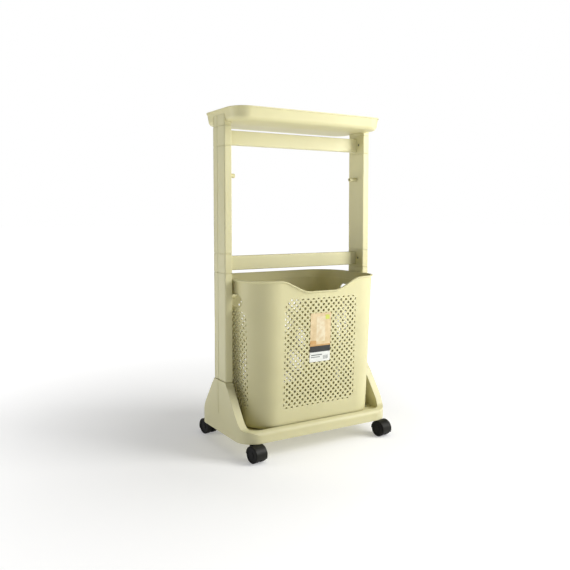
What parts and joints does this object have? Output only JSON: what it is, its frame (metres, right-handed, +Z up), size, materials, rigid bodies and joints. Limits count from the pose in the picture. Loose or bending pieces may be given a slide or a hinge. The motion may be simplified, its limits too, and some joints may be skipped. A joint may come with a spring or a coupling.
{
  "type": "laundry sorter on wheels",
  "caption": "Wheeled laundry sorter: moulded base, two side posts with cross rails and hanging pegs, shallow top tray and a tilting perforated basket.",
  "frame": {"origin": "on the floor, under the middle of the base", "axes": "+Z up, -Y to the front where the basket's low edge is, +X to the right seen from the front"},
  "size_m": [0.466, 0.3224, 0.885],
  "materials": {
    "frame_plastic": "cream moulded polypropylene, satin with a very fine grain",
    "basket_plastic": "cream moulded polypropylene, fine stipple outside, smooth inside",
    "caster_plastic": "black moulded nylon with a fine satin texture",
    "wheel_plastic": "black nylon wheel, slightly scuffed on the tread",
    "steel": "zinc-plated steel",
    "label_card": null
  },
  "bodies": {
    "frame": {"base": "frame_plastic", "lower_post_left": "frame_plastic", "upper_post_left": "frame_plastic", "lower_connector_left": "frame_plastic", "upper_connector_left": "frame_plastic", "lower_peg_left": "frame_plastic", "upper_peg_left": "frame_plastic", "lower_post_right": "frame_plastic", "upper_post_right": "frame_plastic", "lower_connector_right": "frame_plastic", "upper_connector_right": "frame_plastic", "lower_peg_right": "frame_plastic", "upper_peg_right": "frame_plastic", "lower_cross_rail": "frame_plastic", "upper_cross_rail": "frame_plastic", "lower_rail_screws": "steel", "upper_rail_screws": "steel", "top_tray": "frame_plastic", "caster_socket_front_left": "caster_plastic", "caster_socket_front_right": "caster_plastic", "caster_socket_back_left": "caster_plastic", "caster_socket_back_right": "caster_plastic"},
    "basket": {"basket": "basket_plastic", "basket_label": "label_card"},
    "caster_front_left": {"caster_stem_front_left": "steel", "caster_hood_front_left": "caster_plastic", "caster_axle_front_left": "steel"},
    "wheel_a_front_left": {"caster_wheel_a_front_left": "wheel_plastic"},
    "wheel_b_front_left": {"caster_wheel_b_front_left": "wheel_plastic"},
    "caster_front_right": {"caster_stem_front_right": "steel", "caster_hood_front_right": "caster_plastic", "caster_axle_front_right": "steel"},
    "wheel_a_front_right": {"caster_wheel_a_front_right": "wheel_plastic"},
    "wheel_b_front_right": {"caster_wheel_b_front_right": "wheel_plastic"},
    "caster_back_left": {"caster_stem_back_left": "steel", "caster_hood_back_left": "caster_plastic", "caster_axle_back_left": "steel"},
    "wheel_a_back_left": {"caster_wheel_a_back_left": "wheel_plastic"},
    "wheel_b_back_left": {"caster_wheel_b_back_left": "wheel_plastic"},
    "caster_back_right": {"caster_stem_back_right": "steel", "caster_hood_back_right": "caster_plastic", "caster_axle_back_right": "steel"},
    "wheel_a_back_right": {"caster_wheel_a_back_right": "wheel_plastic"},
    "wheel_b_back_right": {"caster_wheel_b_back_right": "wheel_plastic"}
  },
  "joints": [
    {"name": "basket_tilt", "type": "hinge", "parent": "frame", "child": "basket", "pos_m": [0, -0.109, 0.0674], "axis": [1, 0, 0], "range_deg": [0, 7]},
    {"name": "caster_swivel_front_left", "type": "hinge", "parent": "frame", "child": "caster_front_left", "pos_m": [-0.199, -0.118, 0.055], "axis": [0, 0, 1], "continuous": true},
    {"name": "wheel_spin_a_front_left", "type": "hinge", "parent": "caster_front_left", "child": "wheel_a_front_left", "pos_m": [-0.19587, -0.13573, 0.0205], "axis": [0.9848, 0.1736, 0], "continuous": true},
    {"name": "wheel_spin_b_front_left", "type": "hinge", "parent": "caster_front_left", "child": "wheel_b_front_left", "pos_m": [-0.19587, -0.13573, 0.0205], "axis": [0.9848, 0.1736, 0], "continuous": true},
    {"name": "caster_swivel_front_right", "type": "hinge", "parent": "frame", "child": "caster_front_right", "pos_m": [0.199, -0.118, 0.055], "axis": [0, 0, 1], "continuous": true},
    {"name": "wheel_spin_a_front_right", "type": "hinge", "parent": "caster_front_right", "child": "wheel_a_front_right", "pos_m": [0.20213, -0.13573, 0.0205], "axis": [0.9848, 0.1736, 0], "continuous": true},
    {"name": "wheel_spin_b_front_right", "type": "hinge", "parent": "caster_front_right", "child": "wheel_b_front_right", "pos_m": [0.20213, -0.13573, 0.0205], "axis": [0.9848, 0.1736, 0], "continuous": true},
    {"name": "caster_swivel_back_left", "type": "hinge", "parent": "frame", "child": "caster_back_left", "pos_m": [-0.199, 0.118, 0.055], "axis": [0, 0, 1], "continuous": true},
    {"name": "wheel_spin_a_back_left", "type": "hinge", "parent": "caster_back_left", "child": "wheel_a_back_left", "pos_m": [-0.20213, 0.13573, 0.0205], "axis": [-0.9848, -0.1736, 0], "continuous": true},
    {"name": "wheel_spin_b_back_left", "type": "hinge", "parent": "caster_back_left", "child": "wheel_b_back_left", "pos_m": [-0.20213, 0.13573, 0.0205], "axis": [-0.9848, -0.1736, 0], "continuous": true},
    {"name": "caster_swivel_back_right", "type": "hinge", "parent": "frame", "child": "caster_back_right", "pos_m": [0.199, 0.118, 0.055], "axis": [0, 0, 1], "continuous": true},
    {"name": "wheel_spin_a_back_right", "type": "hinge", "parent": "caster_back_right", "child": "wheel_a_back_right", "pos_m": [0.19587, 0.13573, 0.0205], "axis": [-0.9848, -0.1736, 0], "continuous": true},
    {"name": "wheel_spin_b_back_right", "type": "hinge", "parent": "caster_back_right", "child": "wheel_b_back_right", "pos_m": [0.19587, 0.13573, 0.0205], "axis": [-0.9848, -0.1736, 0], "continuous": true}
  ]
}
